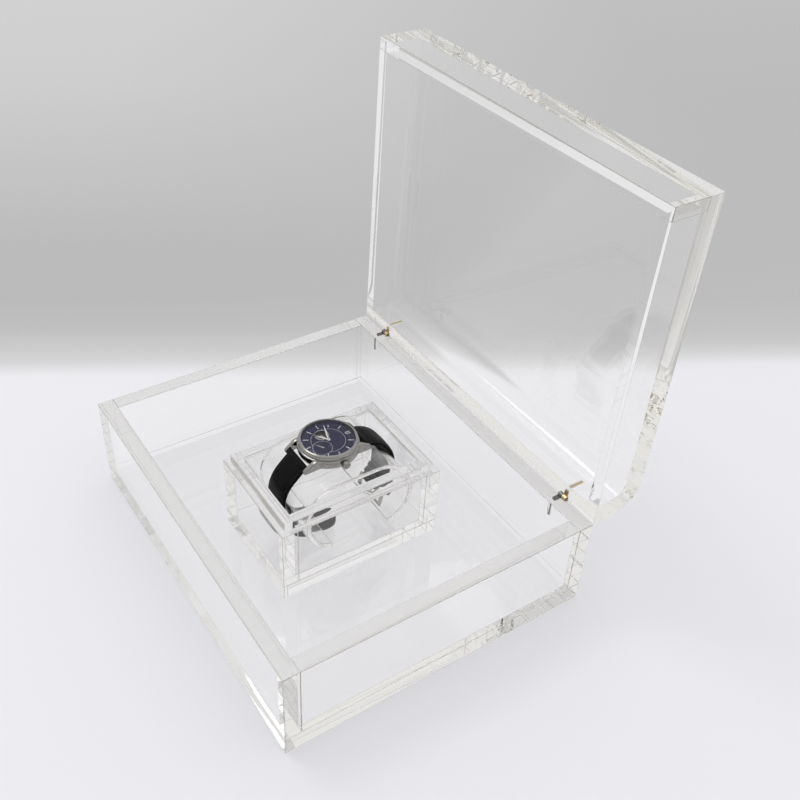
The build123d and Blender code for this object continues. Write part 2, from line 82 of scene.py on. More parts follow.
def lathe(profile, steps=96, centre=(0, 0, 0)):
    """A bmesh turned about Z from (radius, height) points in mm; a closed profile makes a ring."""
    bm = bmesh.new()
    closed = profile[0] == profile[-1]
    points = profile[:-1] if closed else profile
    rings = []
    for r, z in points:
        if r < 1e-6:
            rings.append([bm.verts.new((centre[0] * MM, centre[1] * MM, (centre[2] + z) * MM))])
            continue
        ring = []
        for i in range(steps):
            a = 2 * pi * i / steps
            x, y = centre[0] + r * cos(a), centre[1] + r * sin(a)
            ring.append(bm.verts.new((x * MM, y * MM, (centre[2] + z) * MM)))
        rings.append(ring)
    pairs = list(zip(rings, rings[1:]))
    if closed:
        pairs.append((rings[-1], rings[0]))
    for a, b in pairs:
        for i in range(steps):
            j = (i + 1) % steps
            if len(a) == 1:
                bm.faces.new((a[0], b[i], b[j]))
            elif len(b) == 1:
                bm.faces.new((a[i], b[0], a[j]))
            else:
                bm.faces.new((a[i], b[i], b[j], a[j]))
    return bm


def skin(bm, loops, closed=False):
    """Join each loop of vertices to the next with faces; closed also joins the last to the first."""
    faces = []
    for a, b in zip(loops, loops[1:] + (loops[:1] if closed else [])):
        for i in range(len(a)):
            j = (i + 1) % len(a)
            faces.append(bm.faces.new((a[i], a[j], b[j], b[i])))
    return faces


def prism(bm, outline, low, high, place=Matrix.Identity(4), axis="Z", material=0):
    """Add an extruded outline, in mm, along Z or X, with one of the materials on it."""
    def at(p, h):
        v = Vector((p[0], p[1], h)) if axis == "Z" else Vector((h, p[0], p[1]))
        return place @ (v * MM)

    bottom = [bm.verts.new(at(p, low)) for p in outline]
    top = [bm.verts.new(at(p, high)) for p in outline]
    n = len(outline)
    faces = [bm.faces.new(bottom[::-1]), bm.faces.new(top)]
    for i in range(n):
        j = (i + 1) % n
        faces.append(bm.faces.new((bottom[i], bottom[j], top[j], top[i])))
    for face in faces:
        face.material_index = material
    return faces


def bevel(bm, width, segments=2, angle=30.0, shortest=0.0, index=0):
    """Bevel the edges whose faces meet at more than an angle, with one of the materials on the new faces."""
    edges = [
        e for e in bm.edges
        if len(e.link_faces) == 2 and e.calc_face_angle(0) > radians(angle)
        and e.calc_length() >= shortest * MM
    ]
    made = bmesh.ops.bevel(bm, geom=edges, offset=width * MM, segments=segments, profile=0.5,
                           affect="EDGES", clamp_overlap=True)
    for face in made["faces"]:
        face.material_index = index


def node_bmesh(node):
    """A CAD node's mesh, welded, with its flat faces whole again."""
    bm = bmesh.new()
    bm.from_mesh(frame["nodes"][node].data)
    bmesh.ops.remove_doubles(bm, verts=bm.verts, dist=2e-6)
    bmesh.ops.dissolve_limit(bm, angle_limit=radians(0.5), verts=bm.verts, edges=bm.edges)
    bmesh.ops.recalc_face_normals(bm, faces=bm.faces)
    return bm


def fuse(name, meshes, materials, operation="UNION", sharp=15.0):
    """Boolean a list of bmeshes into one object."""
    objects = [finish_mesh(f"{name}_{i}", bm, materials) for i, bm in enumerate(meshes)]
    base = objects[0]
    for other in objects[1:]:
        step = base.modifiers.new("fuse", "BOOLEAN")
        step.operation = operation
        step.object = other
        step.solver = "EXACT"
    evaluated = base.evaluated_get(bpy.context.evaluated_depsgraph_get())
    bm = bmesh.new()
    bm.from_mesh(evaluated.to_mesh())
    evaluated.to_mesh_clear()
    for obj in objects:
        bpy.data.objects.remove(obj)
    bmesh.ops.dissolve_limit(bm, angle_limit=radians(0.2), verts=bm.verts, edges=bm.edges)
    return finish_mesh(name, bm, materials, sharp, weld=False)


# ------------------------------------------------------------------ materials
def material(name, **values):
    """A Principled material; a tuple is a colour."""
    mat = bpy.data.materials.new(name)
    mat.use_nodes = True
    shader = mat.node_tree.nodes["Principled BSDF"]
    for key, value in values.items():
        key = key.replace("_", " ").title().replace("Ior", "IOR")
        shader.inputs[key].default_value = (*value, 1) if isinstance(value, tuple) else value
    return mat


def nodes_of(mat):
    """A material's nodes, links and shader."""
    return mat.node_tree.nodes, mat.node_tree.links, mat.node_tree.nodes["Principled BSDF"]


def add_noise(mat, scale, detail=4.0, stretch=(1, 1, 1), roughness=0.55):
    """A noise over object coordinates."""
    nodes, links, _ = nodes_of(mat)
    coords = nodes.new("ShaderNodeTexCoord")
    mapping = nodes.new("ShaderNodeMapping")
    mapping.inputs["Scale"].default_value = stretch
    noise = nodes.new("ShaderNodeTexNoise")
    noise.inputs["Scale"].default_value = scale
    noise.inputs["Detail"].default_value = detail
    noise.inputs["Roughness"].default_value = roughness
    links.new(coords.outputs["Object"], mapping.inputs["Vector"])
    links.new(mapping.outputs["Vector"], noise.inputs["Vector"])
    return noise


def add_bump(mat, height, strength, distance):
    """A bump from a height, on top of the bumps that the material has."""
    nodes, links, shader = nodes_of(mat)
    bump = nodes.new("ShaderNodeBump")
    bump.inputs["Strength"].default_value = strength
    bump.inputs["Distance"].default_value = distance
    links.new(height, bump.inputs["Height"])
    previous = shader.inputs["Normal"].links
    if previous:
        links.new(previous[0].from_socket, bump.inputs["Normal"])
    links.new(bump.outputs["Normal"], shader.inputs["Normal"])


def add_ramp(mat, factor, stops, socket):
    """Colour ramp from a factor to one of the shader's sockets."""
    nodes, links, shader = nodes_of(mat)
    ramp = nodes.new("ShaderNodeValToRGB")
    while len(ramp.color_ramp.elements) < len(stops):
        ramp.color_ramp.elements.new(0.5)
    for element, (at, value) in zip(ramp.color_ramp.elements, stops):
        element.position = at
        element.color = (*value, 1) if isinstance(value, tuple) else (value, value, value, 1)
    links.new(factor, ramp.inputs["Fac"])
    links.new(ramp.outputs["Color"], shader.inputs[socket])
    return ramp


ACRYLIC_IOR = 1.49
acrylic = material("clear_acrylic", base_color=(0.992, 0.989, 0.986), roughness=0.0, ior=ACRYLIC_IOR,
                   transmission_weight=1.0)
acrylic_wave = add_noise(acrylic, 9.0, detail=1.0)
add_bump(acrylic, acrylic_wave.outputs["Fac"], 0.03, 0.002)
eased = material("acrylic_eased_edge", base_color=(0.84, 0.83, 0.80), roughness=0.24, ior=ACRYLIC_IOR,
                 transmission_weight=1.0)
add_bump(eased, add_noise(eased, 1800.0).outputs["Fac"], 0.15, 0.0002)
# the base's up-facing cut rims: the saw marks in the roughness are their real cut finish; the milky white
# diffuse share is painted light that brightens them
cut_rim_painted_light = material("acrylic_cut_rim_painted_light", base_color=(0.93, 0.92, 0.895), roughness=0.14, ior=ACRYLIC_IOR,
               transmission_weight=0.78)
saw_marks = add_noise(cut_rim_painted_light, 600.0, stretch=(0.2, 0.2, 1))
add_ramp(cut_rim_painted_light, saw_marks.outputs["Fac"], [(0.3, 0.08), (0.7, 0.22)], "Roughness")
for clear in (acrylic, eased, cut_rim_painted_light):
    nodes, links, _ = nodes_of(clear)
    depth_tint = nodes.new("ShaderNodeVolumeAbsorption")
    depth_tint.inputs["Color"].default_value = (0.86, 0.842, 0.75, 1)
    depth_tint.inputs["Density"].default_value = 1.6
    links.new(depth_tint.outputs["Volume"], nodes["Material Output"].inputs["Volume"])

steel = material("hinge_steel", base_color=(0.20, 0.195, 0.19), metallic=1.0, roughness=0.34)
add_ramp(steel, add_noise(steel, 900.0).outputs["Fac"], [(0.35, 0.24), (0.7, 0.46)], "Roughness")
brass = material("hinge_brass", base_color=(0.62, 0.50, 0.30), metallic=1.0, roughness=0.25)
add_ramp(brass, add_noise(brass, 700.0).outputs["Fac"], [(0.35, 0.18), (0.7, 0.36)], "Roughness")

glass_assemblies = {
    "base_tray": ("base", [
        "base_floor", "base_front_wall", "base_rear_wall", "base_left_wall", "base_right_wall",
    ]),
    "lid_shell": ("lid", ["lid_bent_sheet", "lid_front_wall", "lid_left_wall", "lid_right_wall"]),
    "small_box_tray": ("small_box", [
        "small_box_floor", "small_box_front_wall", "small_box_rear_wall", "small_box_left_wall",
        "small_box_right_wall",
    ]),
}
CLEAR, EASED, CUT_RIM_PAINTED_LIGHT = 0, 1, 2     # the material slots of a sheet
EASED_EDGE = 0.4                    # mm
SHORTEST_EASED = 7.5                # mm: the bend's facets stay sharp
SEAM_BITE = 0.03                    # mm
TRAY_RIM = 0.0635                   # m: the tray's rims face up above this
BOX_UNDERSIDE = 0.01206             # m: a hair over the tray's floor, so that the two sheets stay apart


def sheet_bmesh(node):
    """An acrylic sheet with its long edges eased."""
    bm = node_bmesh(node)
    bevel(bm, EASED_EDGE, shortest=SHORTEST_EASED, index=EASED)
    return bm


def grown(bm):
    """Push the mesh outwards a hair from its own middle so that it bites into its neighbours."""
    lo = Vector([min(v.co[i] for v in bm.verts) for i in range(3)])
    hi = Vector([max(v.co[i] for v in bm.verts) for i in range(3)])
    mid, half = (lo + hi) / 2, (hi - lo) / 2
    for v in bm.verts:
        for i in range(3):
            v.co[i] += SEAM_BITE * MM * (v.co[i] - mid[i]) / half[i]
    return bm


for name, (body, nodes) in glass_assemblies.items():
    sheets = [sheet_bmesh(nodes[0])] + [grown(sheet_bmesh(node)) for node in nodes[1:]]
    shell = fuse(name, sheets, [acrylic, eased, cut_rim_painted_light])
    # the base's rims that face up take the cut-rim material, whose milky white is painted light
    for face in shell.data.polygons:
        faces_up = face.normal.z > 0.99 and face.center.z > TRAY_RIM
        if body == "base" and face.material_index == CLEAR and faces_up:
            face.material_index = CUT_RIM_PAINTED_LIGHT
    if body == "small_box":
        for v in shell.data.vertices:
            v.co.z = max(v.co.z, BOX_UNDERSIDE)
    piece(shell, body, "clear_acrylic", *nodes)


def make_ring():
    """The C-shaped ring, with finer curves than the CAD's facets."""
    lo, hi = (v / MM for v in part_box("c_ring"))
    radius, sheet, stop, steps = 22.3, 3.0, 13.0, 34     # mm, mm, degrees short of straight down
    front, rear, mid_z = lo.y + radius, hi.y - radius, hi.z - radius
    low = 270 - stop
    loops = []
    for r in (radius, radius - sheet):
        turns = [low - (low - 90) * i / steps for i in range(steps + 1)]
        run = [(front + r * cos(radians(a)), mid_z + r * sin(radians(a))) for a in turns]
        run += [(rear - r * cos(radians(a)), mid_z + r * sin(radians(a))) for a in reversed(turns)]
        loops.append(run)
    bm = bmesh.new()
    rows = [[[bm.verts.new((x * MM, y * MM, z * MM)) for y, z in loop] for loop in loops]
            for x in (lo.x, hi.x)]
    count = len(loops[0])
    for i in range(count - 1):
        for k in (0, 1):
            a, b = rows[k][0], rows[k][1]
            bm.faces.new((a[i], a[i + 1], b[i + 1], b[i]))
            c, d = rows[0][k], rows[1][k]
            bm.faces.new((c[i], c[i + 1], d[i + 1], d[i]))
    for i in (0, count - 1):
        bm.faces.new((rows[0][0][i], rows[0][1][i], rows[1][1][i], rows[1][0][i]))
    bmesh.ops.recalc_face_normals(bm, faces=bm.faces)
    bevel(bm, 0.35, index=EASED)
    return finish_mesh("ring_stand", bm, [acrylic, eased])


piece(make_ring(), "ring", "clear_acrylic", "c_ring")

# ------------------------------------------------------------------ finishes of the watch
def centred(mat, x, y):
    """The flat offset, in metres, from a point given in mm."""
    nodes, links, _ = nodes_of(mat)
    coords = nodes.new("ShaderNodeTexCoord")
    shift = nodes.new("ShaderNodeVectorMath")
    shift.operation = "SUBTRACT"
    shift.inputs[1].default_value = (x * MM, y * MM, 0)
    flat = nodes.new("ShaderNodeVectorMath")
    flat.operation = "MULTIPLY"
    flat.inputs[1].default_value = (1, 1, 0)
    links.new(coords.outputs["Object"], shift.inputs[0])
    links.new(shift.outputs["Vector"], flat.inputs[0])
    return flat


def add_rays(mat, x, y, scale):
    """Noise that runs in straight rays from a point: a sunburst brushing."""
    nodes, links, _ = nodes_of(mat)
    unit = nodes.new("ShaderNodeVectorMath")
    unit.operation = "NORMALIZE"
    links.new(centred(mat, x, y).outputs["Vector"], unit.inputs[0])
    noise = nodes.new("ShaderNodeTexNoise")
    noise.inputs["Scale"].default_value = scale
    noise.inputs["Detail"].default_value = 3.0
    links.new(unit.outputs["Vector"], noise.inputs["Vector"])
    return noise


def add_circles(mat, x, y, scale):
    """Noise that runs in circles round a point: a turned finish."""
    nodes, links, _ = nodes_of(mat)
    length = nodes.new("ShaderNodeVectorMath")
    length.operation = "LENGTH"
    links.new(centred(mat, x, y).outputs["Vector"], length.inputs[0])
    noise = nodes.new("ShaderNodeTexNoise")
    noise.noise_dimensions = "1D"
    noise.inputs["Scale"].default_value = scale
    noise.inputs["Detail"].default_value = 2.0
    links.new(length.outputs["Value"], noise.inputs["W"])
    return noise


def add_cells(mat, scale):
    """Voronoi cells over object coordinates."""
    nodes, links, _ = nodes_of(mat)
    coords = nodes.new("ShaderNodeTexCoord")
    cells = nodes.new("ShaderNodeTexVoronoi")
    cells.inputs["Scale"].default_value = scale
    links.new(coords.outputs["Object"], cells.inputs["Vector"])
    return cells


WATCH = (1.6, -4.2, 75.9)           # mm: the dial's axis, at the case back
OPEN_HEART = (-6.0, -1.1)           # mm from the dial's axis
SMALL_SECONDS = (4.1, -6.3)

polished = material("polished_steel", base_color=(0.33, 0.322, 0.305), metallic=1.0, roughness=0.1)
add_ramp(polished, add_noise(polished, 400.0).outputs["Fac"], [(0.3, 0.07), (0.75, 0.17)], "Roughness")
silver = material("silver", base_color=(0.86, 0.86, 0.87), metallic=1.0, roughness=0.16)
add_ramp(silver, add_noise(silver, 2500.0).outputs["Fac"], [(0.3, 0.1), (0.75, 0.24)], "Roughness")
print_ink = material("silver_print", base_color=(0.6, 0.6, 0.66), metallic=0.3, roughness=0.4)
add_ramp(print_ink, add_noise(print_ink, 6000.0).outputs["Fac"],
         [(0.3, (0.5, 0.5, 0.57)), (0.7, (0.72, 0.72, 0.78))], "Base Color")
navy = material("navy_lacquer", metallic=0.35, roughness=0.34, specular_ior_level=0.15)
rays = add_rays(navy, *WATCH[:2], 26.0)
add_ramp(navy, rays.outputs["Fac"], [(0.3, (0.011, 0.011, 0.046)), (0.7, (0.025, 0.024, 0.088))],
         "Base Color")
add_bump(navy, rays.outputs["Fac"], 0.25, 0.0002)
snail = material("navy_snailed", metallic=0.35, roughness=0.34, specular_ior_level=0.15)
circles = add_circles(snail, WATCH[0] + SMALL_SECONDS[0], WATCH[1] + SMALL_SECONDS[1], 5200.0)
add_ramp(snail, circles.outputs["Fac"], [(0.35, (0.010, 0.010, 0.040)), (0.65, (0.030, 0.029, 0.095))],
         "Base Color")
add_bump(snail, circles.outputs["Fac"], 0.4, 0.0001)
gilt = material("gilt_movement", base_color=(0.36, 0.31, 0.25), metallic=1.0, roughness=0.3)
perlage = add_cells(gilt, 1500.0)
add_ramp(gilt, perlage.outputs["Distance"], [(0.0, 0.2), (0.7, 0.42)], "Roughness")
add_bump(gilt, perlage.outputs["Distance"], 0.3, 0.0001)
ruby = material("ruby_jewel", base_color=(0.55, 0.02, 0.08), roughness=0.08, coat_weight=1.0)
add_ramp(ruby, add_noise(ruby, 3000.0).outputs["Fac"],
         [(0.3, (0.45, 0.015, 0.06)), (0.7, (0.65, 0.04, 0.12))], "Base Color")
crystal = material("sapphire", base_color=(0.99, 0.995, 1.0), roughness=0.0, ior=1.25,
                   transmission_weight=1.0)
add_bump(crystal, add_noise(crystal, 30.0, detail=1.0).outputs["Fac"], 0.02, 0.0005)
white = material("holder_white", base_color=(0.7, 0.7, 0.68), roughness=0.6)
add_ramp(white, add_noise(white, 1500.0).outputs["Fac"], [(0.3, 0.5), (0.7, 0.7)], "Roughness")

leather = material("black_leather", base_color=(0.004, 0.004, 0.0042), roughness=0.4,
                   specular_ior_level=0.08)
grain = add_cells(leather, 2600.0)
creases = add_noise(leather, 240.0, detail=5.0, stretch=(0.35, 1, 1))
add_bump(leather, grain.outputs["Distance"], 0.35, 0.00012)
add_bump(leather, creases.outputs["Fac"], 0.45, 0.0006)
add_ramp(leather, creases.outputs["Fac"], [(0.3, 0.26), (0.75, 0.52)], "Roughness")
lining = material("strap_lining", base_color=(0.030, 0.026, 0.022), roughness=0.75)
nap = add_noise(lining, 1800.0, detail=6.0)
add_ramp(lining, nap.outputs["Fac"], [(0.3, (0.022, 0.019, 0.016)), (0.7, (0.046, 0.040, 0.034))],
         "Base Color")
add_bump(lining, nap.outputs["Fac"], 0.5, 0.0002)
thread = material("black_thread", base_color=(0.018, 0.018, 0.019), roughness=0.6)
add_bump(thread, add_noise(thread, 5000.0, stretch=(1, 0.3, 0.3)).outputs["Fac"], 0.6, 0.0001)

# CAD nodes that keep their shape take their finish here
by_slot = {"steel": steel, "brass": brass, "polished_steel": polished, "crystal": crystal, "blue_dial": navy,
           "holder_plastic": white, "leather": leather, "clear_acrylic": acrylic}
for part in frame["record"]["subparts"]:
    for place in frame["nodes"][part["node"]].material_slots:
        place.material = by_slot[part["material_slot"]]
for node in ("watch_movement", "watch_balance_wheel"):
    for place in frame["nodes"][node].material_slots:
        place.material = gilt


# ------------------------------------------------------------------ watch case
def turned(name, profile, mats, body, slot, *nodes, steps=128, at=(0, 0)):
    """A lathed piece of the watch, about the dial's axis or a point of the dial."""
    centre = (WATCH[0] + at[0], WATCH[1] + at[1], WATCH[2])
    return piece(finish_mesh(name, lathe(profile, steps, centre), mats, POLISHED_SHARP), body, slot, *nodes)


def rod_bmesh(radius, x0, x1, y, z, steps=32):
    """A round rod along X, in mm."""
    bm = bmesh.new()
    circle = [(y + radius * cos(2 * pi * i / steps), z + radius * sin(2 * pi * i / steps))
              for i in range(steps)]
    prism(bm, circle, x0, x1, axis="X")
    bmesh.ops.recalc_face_normals(bm, faces=bm.faces)
    return bm


# profiles in mm: (radius, height above the case back); the lugs' outline is (distance from the axis, height)
CASE_PROFILE = [
    (17.2, 8.2), (18.05, 8.2), (18.28, 8.12), (18.34, 7.95), (18.42, 7.86), (18.66, 7.84), (18.92, 7.72),
    (19.06, 7.45), (19.12, 7.0), (19.16, 6.2), (19.16, 5.2), (19.1, 4.2), (18.92, 3.2), (18.6, 2.4),
    (18.15, 1.72), (17.65, 1.25), (17.1, 0.95), (16.6, 0.82), (16.55, 0.9), (16.55, 1.6), (17.2, 1.6),
    (17.2, 8.2),
]
LUG_OUTLINE = [
    (12.0, 1.2), (17.1, 0.85), (19.5, 0.48), (21.5, 0.3), (22.5, 0.34), (23.2, 0.6), (23.65, 1.1),
    (23.8, 1.7), (23.7, 2.3), (23.3, 3.0), (22.6, 3.7), (21.6, 4.35), (20.5, 5.0), (19.4, 5.75), (18.3, 6.5),
    (17.0, 7.3), (15.3, 7.75), (12.0, 7.85),
]
LUG_INNER, LUG_WIDTH, LUG_TAPER = 10.2, 2.7, 0.3
LUG_ROOT, LUG_REACH = 16.0, 7.8     # mm: where the taper starts, and its length
STEM_HOLE, STEM_LEVEL = 0.66, 5.0
TURN_STEPS = 160                    # facets of the case's large rings
POLISHED_SHARP = 28.0               # degrees

case_bm = lathe(CASE_PROFILE, TURN_STEPS, WATCH)
stem_hole = rod_bmesh(STEM_HOLE, WATCH[0] + 14, WATCH[0] + 22, WATCH[1], WATCH[2] + STEM_LEVEL)
case_body = fuse("case_body", [case_bm, stem_hole], [polished], "DIFFERENCE", sharp=POLISHED_SHARP)
piece(case_body, "watch", "polished_steel", "watch_case", "watch_case_back")

for end in (-1, 1):
    for side in (-1, 1):
        bm = bmesh.new()
        outline = [(end * y, z) for y, z in LUG_OUTLINE]
        prism(bm, outline, 0.0, LUG_WIDTH, axis="X")
        bmesh.ops.recalc_face_normals(bm, faces=bm.faces)
        for v in bm.verts:
            reach = min(1.0, max(0.0, (abs(v.co.y) / MM - LUG_ROOT) / LUG_REACH))
            v.co.x *= 1.0 - LUG_TAPER * reach ** 1.3
        bevel(bm, 0.38, segments=3, angle=45)
        for v in bm.verts:
            v.co = Vector((side * (v.co.x + LUG_INNER * MM), v.co.y, v.co.z)) + Vector(WATCH) * MM
        name = f"lug_{'front' if end < 0 else 'rear'}_{'left' if side < 0 else 'right'}"
        piece(finish_mesh(name, bm, [polished], 35.0), "watch", "polished_steel")

turned("case_back_cover", [
    (0, 0.0), (11.6, 0.0), (11.8, 0.05), (11.95, 0.25), (12.4, 0.25), (12.6, 0.05), (12.8, 0.0), (15.2, 0.0),
    (15.7, 0.12), (16.1, 0.42), (16.35, 0.75), (16.4, 1.6), (0, 1.6),
], [polished], "watch", "polished_steel")
BACK_SCREWS, SCREW_CIRCLE = 6, 14.0
for i in range(BACK_SCREWS):
    a = radians(360 / BACK_SCREWS * i + 15)
    bm = lathe([(0, -0.06), (0.55, -0.06), (0.62, 0.0), (0.62, 0.2), (0, 0.2)], 24,
               (WATCH[0] + SCREW_CIRCLE * cos(a), WATCH[1] + SCREW_CIRCLE * sin(a), WATCH[2]))
    piece(finish_mesh(f"case_back_screw_{i}", bm, [silver]), "watch", "polished_steel")
turned("bezel_ring", [
    (16.65, 8.24), (18.2, 8.24), (18.4, 8.3), (18.48, 8.48), (18.5, 8.8), (18.46, 9.25), (18.33, 9.72),
    (18.1, 10.14), (17.76, 10.46), (17.4, 10.66), (17.05, 10.76), (16.82, 10.76), (16.7, 10.68),
    (16.65, 10.5), (16.65, 8.24),
], [polished], "watch", "polished_steel", "watch_bezel", steps=TURN_STEPS)
turned("domed_crystal", [
    (0, 11.15), (4, 11.135), (8, 11.09), (12, 11.0), (15, 10.9), (16.1, 10.84), (16.45, 10.7), (16.58, 10.45),
    (16.58, 9.8), (16.45, 9.67), (16.2, 9.65), (0, 9.65),
], [crystal], "watch", "crystal", "watch_crystal", steps=TURN_STEPS)
turned("flange", [(16.58, 9.56), (16.58, 8.0), (15.72, 8.0), (15.72, 8.08), (16.3, 9.56), (16.58, 9.56)],
       [navy], "watch", "blue_dial", "watch_flange_ring", steps=TURN_STEPS)

# ------------------------------------------------------------------ dial
DIAL_TOP = 8.0                      # mm above the case back
FACE = WATCH[2] + DIAL_TOP
INK = FACE + 0.02
SUB_FACE = FACE - 0.10
BATON = (11.9, 15.25)               # mm from the dial's axis
BATON_WIDTH, TWIN_WIDTH, TWIN_ANGLE = 0.56, 0.5, 3.0
BATON_FORM = {"thick": 0.22, "ridge": 0.14}
COVERED_BATON, COVERED_MINUTES = 5, (24, 26)     # where the small seconds dial lies


def dial_bar(bm, angle, r0, r1, width, z, at=(0, 0), thick=0.0, ridge=0.0):
    """A radial bar at a clock angle: flat print, or a block with a ridge when it has a thickness."""
    a = radians(angle)
    out, side = Vector((sin(a), cos(a))), Vector((cos(a), -sin(a)))
    middle = Vector((WATCH[0] + at[0], WATCH[1] + at[1]))

    def at_point(r, s, h):
        p = middle + out * r + side * s
        return bm.verts.new((p.x * MM, p.y * MM, (z + h) * MM))

    w = width / 2
    if not thick:
        bm.faces.new([at_point(r0, -w, 0), at_point(r0, w, 0), at_point(r1, w, 0), at_point(r1, -w, 0)])
        return
    low = [at_point(r, s, 0) for r, s in ((r0, -w), (r0, w), (r1, w), (r1, -w))]
    high = [at_point(r, s, thick) for r, s in ((r0, -w), (r0, w), (r1, w), (r1, -w))]
    inner, outer = at_point(r0 + w, 0, thick + ridge), at_point(r1 - w, 0, thick + ridge)
    bm.faces.new(low[::-1])
    for i in range(4):
        j = (i + 1) % 4
        bm.faces.new((low[i], low[j], high[j], high[i]))
    bm.faces.new((high[0], high[1], inner))
    bm.faces.new((high[1], high[2], outer, inner))
    bm.faces.new((high[2], high[3], outer))
    bm.faces.new((high[3], high[0], inner, outer))


def dial_ring(bm, r0, r1, z, at=(0, 0), steps=180, keep=None):
    """A flat printed ring; keep says which of its points are printed."""
    def at_point(r, i):
        a = 2 * pi * i / steps
        return Vector((at[0] + r * cos(a), at[1] + r * sin(a)))

    for i in range(steps):
        corners = [at_point(r0, i), at_point(r1, i), at_point(r1, i + 1), at_point(r0, i + 1)]
        if keep and not all(keep(c) for c in corners):
            continue
        bm.faces.new([bm.verts.new(((WATCH[0] + c.x) * MM, (WATCH[1] + c.y) * MM, z * MM)) for c in corners])


def clear_of_dials(c):
    """Whether a point lies outside the small seconds dial and the aperture."""
    return (c - Vector(SMALL_SECONDS)).length > 5.9 and (c - Vector(OPEN_HEART)).length > 4.6


bm = bmesh.new()
dial_ring(bm, 10.3, 10.52, INK, keep=clear_of_dials)
dial_ring(bm, 5.86, 6.06, INK, at=SMALL_SECONDS)
for minute in range(60):
    dial_bar(bm, 6 * minute, 15.3, 15.62, 0.1, INK)
    if minute % 5 and minute not in COVERED_MINUTES:
        dial_bar(bm, 6 * minute, 13.0, 13.3, 0.06, INK)
for second in range(60):
    long = second % 5 == 0
    inner, width = (5.25, 0.1) if long else (5.5, 0.05)
    dial_bar(bm, 6 * second, inner, 5.75, width, INK, at=SMALL_SECONDS)
for quarter in range(4):
    dial_bar(bm, 90 * quarter, 3.9, 4.7, 0.16, SUB_FACE, at=SMALL_SECONDS)
piece(finish_mesh("dial_print", bm, [print_ink]), "watch", "polished_steel")
turned("small_seconds_disc", [(0.36, 7.9), (5.08, 7.9), (5.08, 7.882), (0.36, 7.882), (0.36, 7.9)],
       [snail], "watch", "blue_dial", at=SMALL_SECONDS)

bm = bmesh.new()
for hour in range(12):
    if hour == 0:
        for angle in (-TWIN_ANGLE, TWIN_ANGLE):
            dial_bar(bm, angle, *BATON, TWIN_WIDTH, FACE, **BATON_FORM)
    elif hour != COVERED_BATON:
        dial_bar(bm, 30 * hour, *BATON, BATON_WIDTH, FACE, **BATON_FORM)
piece(finish_mesh("hour_batons", bm, [silver], 5.0), "watch", "polished_steel", "watch_hour_markers")

turned("aperture_ring", [
    (4.18, 7.9), (4.18, 8.1), (4.24, 8.18), (4.34, 8.19), (4.44, 8.1), (4.46, 7.98), (4.18, 7.9),
], [silver], "watch", "polished_steel", at=OPEN_HEART, steps=96)


# balance cock with its jewel and screw, and the balance's spring and screws
def at_heart(x, y, z):
    """A point, in metres, from millimetres off the balance's axis and above the case back."""
    return Vector((WATCH[0] + OPEN_HEART[0] + x, WATCH[1] + OPEN_HEART[1] + y, WATCH[2] + z)) * MM


bm = bmesh.new()
cock = [(cos(radians(a)), sin(radians(a))) for a in range(110, 341, 10)]
cock = [(-0.6, 0.8)] + cock + [(2.6, -0.9), (4.9, -2.2), (5.3, 0.4), (4.4, 2.9), (2.0, 1.7)]
prism(bm, cock, 6.62, 7.0, Matrix.Translation(at_heart(0, 0, 0)))
bmesh.ops.recalc_face_normals(bm, faces=bm.faces)
bevel(bm, 0.09, segments=2, angle=45)
piece(finish_mesh("balance_cock", bm, [gilt], 20.0), "watch", "brass")
jewel = [(0, 7.02), (0.3, 7.04), (0.42, 7.08), (0.5, 7.02), (0.5, 6.9), (0, 6.9)]
turned("balance_jewel", jewel, [ruby], "watch", "brass", at=OPEN_HEART, steps=32)
turned("jewel_setting", [(0.5, 6.9), (0.5, 7.1), (0.6, 7.14), (0.72, 7.1), (0.72, 6.9), (0.5, 6.9)],
       [silver], "watch", "brass", at=OPEN_HEART, steps=32)
turned("cock_screw", [(0, 7.16), (0.42, 7.16), (0.52, 7.1), (0.52, 6.9), (0, 6.9)],
       [silver], "watch", "brass", at=(OPEN_HEART[0] + 3.1, OPEN_HEART[1] + 0.6), steps=32)

bm = bmesh.new()
turns, points, spring_start, spring_growth = 5.0, 240, 0.7, 1.6
spiral = []
for i in range(points + 1):
    a, r = 2 * pi * turns * i / points, spring_start + spring_growth * i / points
    spiral.append([
        bm.verts.new(at_heart((r + s) * cos(a), (r + s) * sin(a), z)) for s, z in
        ((-0.02, 6.38), (0.02, 6.38), (0.02, 6.5), (-0.02, 6.5))
    ])
skin(bm, spiral)
bm.faces.new(spiral[0])
bm.faces.new(spiral[-1][::-1])
piece(finish_mesh("hairspring", bm, [steel]), "balance", "polished_steel")


def add_pin(bm, segments, radius, depth, matrix):
    """A cylinder, in mm, placed by a matrix."""
    bmesh.ops.create_cone(bm, cap_ends=True, segments=segments, radius1=radius * MM, radius2=radius * MM,
                          depth=depth * MM, matrix=matrix)


bm = bmesh.new()
WHEEL_EDGE, WHEEL_LEVEL = 3.72, 6.15
for i in range(12):
    a = radians(30 * i + 15)
    place = Matrix.Translation(at_heart(WHEEL_EDGE * cos(a), WHEEL_EDGE * sin(a), WHEEL_LEVEL))
    add_pin(bm, 12, 0.13, 0.5, place @ Matrix.Rotation(a, 4, "Z") @ Matrix.Rotation(pi / 2, 4, "Y"))
piece(finish_mesh("balance_screws", bm, [gilt], 30.0), "balance", "brass")


